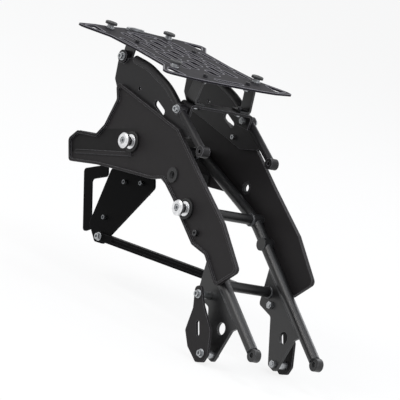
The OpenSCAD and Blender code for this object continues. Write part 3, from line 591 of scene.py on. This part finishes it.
def addPiece(name, forms, material, smooth=True):
    verts, faces = [], []
    for formVerts, formFaces in forms:
        start = len(verts)
        verts += formVerts
        faces += [tuple(start + i for i in face) for face in formFaces]
    mesh = bpy.data.meshes.new(name)
    mesh.from_pydata([tuple(v) for v in verts], [], faces)
    bm = bmesh.new()
    bm.from_mesh(mesh)
    bmesh.ops.recalc_face_normals(bm, faces=bm.faces)
    bm.to_mesh(mesh)
    bm.free()
    mesh.polygons.foreach_set("use_smooth", [smooth] * len(mesh.polygons))
    mesh.materials.append(material)
    piece = bpy.data.objects.new(name, mesh)
    bpy.context.scene.collection.objects.link(piece)
    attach(piece, "root")


# points round a ring whose axis runs across the frame
def ringPoints(centre, axis, radius):
    across = Vector((1, 0, 0))
    other = Vector(axis).cross(across)
    turns = [math.radians(360 * i / bead["ringSteps"]) for i in range(bead["ringSteps"])]
    return [Vector(centre) + (across * math.cos(t) + other * math.sin(t)) * radius for t in turns]


# the frame's own meshes are read for where the lips and washers go
meshReading = {
    "grid": 0.01 * mm,  # corners nearest to the same point of this grid count as one
    "facing": 0.999,
    "nearLevel": 0.05 * mm,
}


def gridPoint(corner):
    return tuple(round(c / meshReading["grid"]) for c in corner)


# corner loops of a node's flat face at a level on an axis
def flatLoops(nodeName, axis, level):
    mesh = nodes[nodeName].data
    edges = {}
    for face in mesh.polygons:
        offLevel = abs(face.center[axis] - level)
        if face.normal[axis] < meshReading["facing"] or offLevel > meshReading["nearLevel"]:
            continue
        corners = [gridPoint(mesh.vertices[i].co) for i in face.vertices]
        edges.update(dict.fromkeys(zip(corners, corners[1:] + corners[:1])))
    rim = {a: b for a, b in edges if (b, a) not in edges}
    loops = []
    while rim:
        here = next(iter(rim))
        loop = []
        while here in rim:
            loop.append(Vector(here) * meshReading["grid"])
            here = rim.pop(here)
        loops.append(loop)
    return loops


# separate solids of one node, as their lowest and highest corners
def islands(nodeName):
    mesh = nodes[nodeName].data
    corners = [gridPoint(v.co) for v in mesh.vertices]
    root = {corner: corner for corner in corners}

    def find(k):
        while root[k] != k:
            root[k] = root[root[k]]
            k = root[k]
        return k

    for face in mesh.polygons:
        first, *others = [find(corners[i]) for i in face.vertices]
        for other in others:
            root[find(other)] = find(first)
    groups = {}
    for k in root:
        groups.setdefault(find(k), []).append(k)
    boxes = []
    for points in groups.values():
        boxes.append([Vector([pick(p[i] for p in points) * meshReading["grid"] for i in range(3)])
                      for pick in (min, max)])
    return sorted(boxes, key=lambda box: tuple(round(c, 4) for c in box[0]))


# the pressed lip round each of the rack's slots and along its outer edge, coloured paler than the rack as a
# painted highlight
slotLip = {
    "half": 1.3 * mm,  # half the lip's width
    "flat": 0.45,
    "step": 1.2 * mm,
    "smallest": 60 * mm,  # a loop shorter than this is a screw's hole and has no lip
}
rackTop = {"axis": 2, "level": 0.0}

lips = []
for loop in flatLoops("rack_plate", rackTop["axis"], rackTop["level"]):
    around = sum((a - b).length for a, b in zip(loop, loop[1:] + loop[:1]))
    if around > slotLip["smallest"]:
        lips.append(sweepBead(loop, True, (0, 0, 1), slotLip["half"], step=slotLip["step"],
                              flat=slotLip["flat"], inward=slotLip["half"]))
addPiece("rackPressedLips", lips, lipHighlightCoat)
print("rack lips:", len(lips))

weld = {
    "throat": 2.6 * mm,
    "standOff": 0.2,  # how far a bead's middle stands off the metal, as a share of its throat
    "ripple": 0.3,
    "crossTubeRadius": 10 * mm,
    "lowerTube": (366 * mm, 0, -346 * mm),  # its tab puts the middle of its box elsewhere
    "railMiddle": 78 * mm,
    "lugHalf": 3 * mm,
    "railRadius": 11 * mm,
    "eye": (560 * mm, 0, -424 * mm),
    "lugFrom": 112 * mm,
    "lugTo": 262 * mm,
}
weldOff = weld["standOff"] * weld["throat"]

# a ring of weld at both ends of each cross tube
tubeWelds = []
for tube in ("upper_cross_tube", "middle_cross_tube", "lower_cross_tube"):
    x, _, z = weld["lowerTube"] if tube == "lower_cross_tube" else middleOf(tube)
    for side in (-1, 1):
        middle = (x, side * (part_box(tube)[1][1] - weldOff), z)
        ring = ringPoints(middle, (0, side, 0), weld["crossTubeRadius"] + weldOff)
        tubeWelds.append(sweepBead(ring, True, (0, 1, 0), weld["throat"], weld["ripple"]))
addPiece("crossTubeWelds", tubeWelds, frameCoat)

# beads on both faces of each lug, along the under side of its rail
railStart = Vector(middleOf("lower_spool_right"))
railWay = (Vector(weld["eye"]) - railStart).normalized()
railDown = Vector((railWay.z, 0, -railWay.x))
drop = math.sqrt(weld["railRadius"] ** 2 - weld["lugHalf"] ** 2)
lugWelds = []
for side in (-1, 1):
    for face in (-1, 1):
        offset = Vector((0, side * weld["railMiddle"] + face * (weld["lugHalf"] + weldOff), 0))
        ends = [railStart + railWay * s + railDown * drop + offset for s in (weld["lugFrom"], weld["lugTo"])]
        lugWelds.append(sweepBead(ends, False, (0, 1, 0), weld["throat"], weld["ripple"]))
addPiece("lugWelds", lugWelds, frameCoat)
print("weld beads:", len(tubeWelds) + len(lugWelds))

washer = {
    "thick": 1.4 * mm,
    "past": 2.6 * mm,  # how far it shows beyond the screw's head
    "under": 0.2 * mm,  # how far it reaches in under the head
    "edge": 0.3 * mm,
    "thread": 8 * mm,
    "headHeight": 0.85,  # in threads, and so is the radius, as the source has them
    "headRadius": 0.75,
    "longestNut": 2,  # in threads too
    "steps": 40,
}
headHeight = washer["headHeight"] * washer["thread"]
headRadius = washer["headRadius"] * washer["thread"]


def washerForm(seat, outboard):
    outer, inner = headRadius + washer["past"], headRadius - washer["under"]
    thick, edge = washer["thick"], washer["edge"]
    profile = [(inner, 0), (outer, 0), (outer, thick - edge), (outer - edge, thick), (inner, thick)]
    return turnProfile(profile, seat, (0, outboard, 0), washer["steps"])


# heads that point outboard sit on the side of their box that is further from the middle plane
washers = []
for nodeName in ("rear_bracket_bolts", "bridge_bolts", "foot_bolts"):
    for low, high in islands(nodeName):
        if (high - low).y < washer["longestNut"] * washer["thread"]:
            continue
        outboard = 1 if low.y + high.y > 0 else -1
        reach = max(abs(low.y), abs(high.y))
        seat = ((low.x + high.x) / 2, outboard * (reach - headHeight), (low.z + high.z) / 2)
        washers.append(washerForm(seat, outboard))
for low, high in islands("stay_bolts"):
    seat = ((low.x + high.x) / 2, low.y + headHeight, (low.z + high.z) / 2)
    washers.append(washerForm(seat, -1))
addPiece("plainWashers", washers, screwSteel, smooth=False)
print("washers:", len(washers))

# the black ring that each spool stands in, on the side plate
seatRing = {
    "outer": 20.5 * mm,
    "inner": 14.4 * mm,
    "high": 6 * mm,
    "edge": 1.2 * mm,  # its outer rim is rounded over twice this
    "platesOuter": 95 * mm,
    "steps": 56,
}


def seatRingForm(x, z, side):
    outer, inner, high, edge = (seatRing[k] for k in ("outer", "inner", "high", "edge"))
    profile = [(inner, 0), (outer, 0), (outer, high - 2 * edge), (outer - 0.4 * edge, high - edge),
               (outer - edge, high - 0.3 * edge), (outer - 2 * edge, high), (inner, high)]
    return turnProfile(profile, (x, side * seatRing["platesOuter"], z), (0, side, 0), seatRing["steps"])


rings = []
for row in ("upper", "lower"):
    x, _, z = middleOf(row + "_spool_right")
    rings += [seatRingForm(x, z, side) for side in (-1, 1)]
addPiece("spoolSeatRings", rings, ringNylon)
print("seat rings:", len(rings))

low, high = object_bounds()
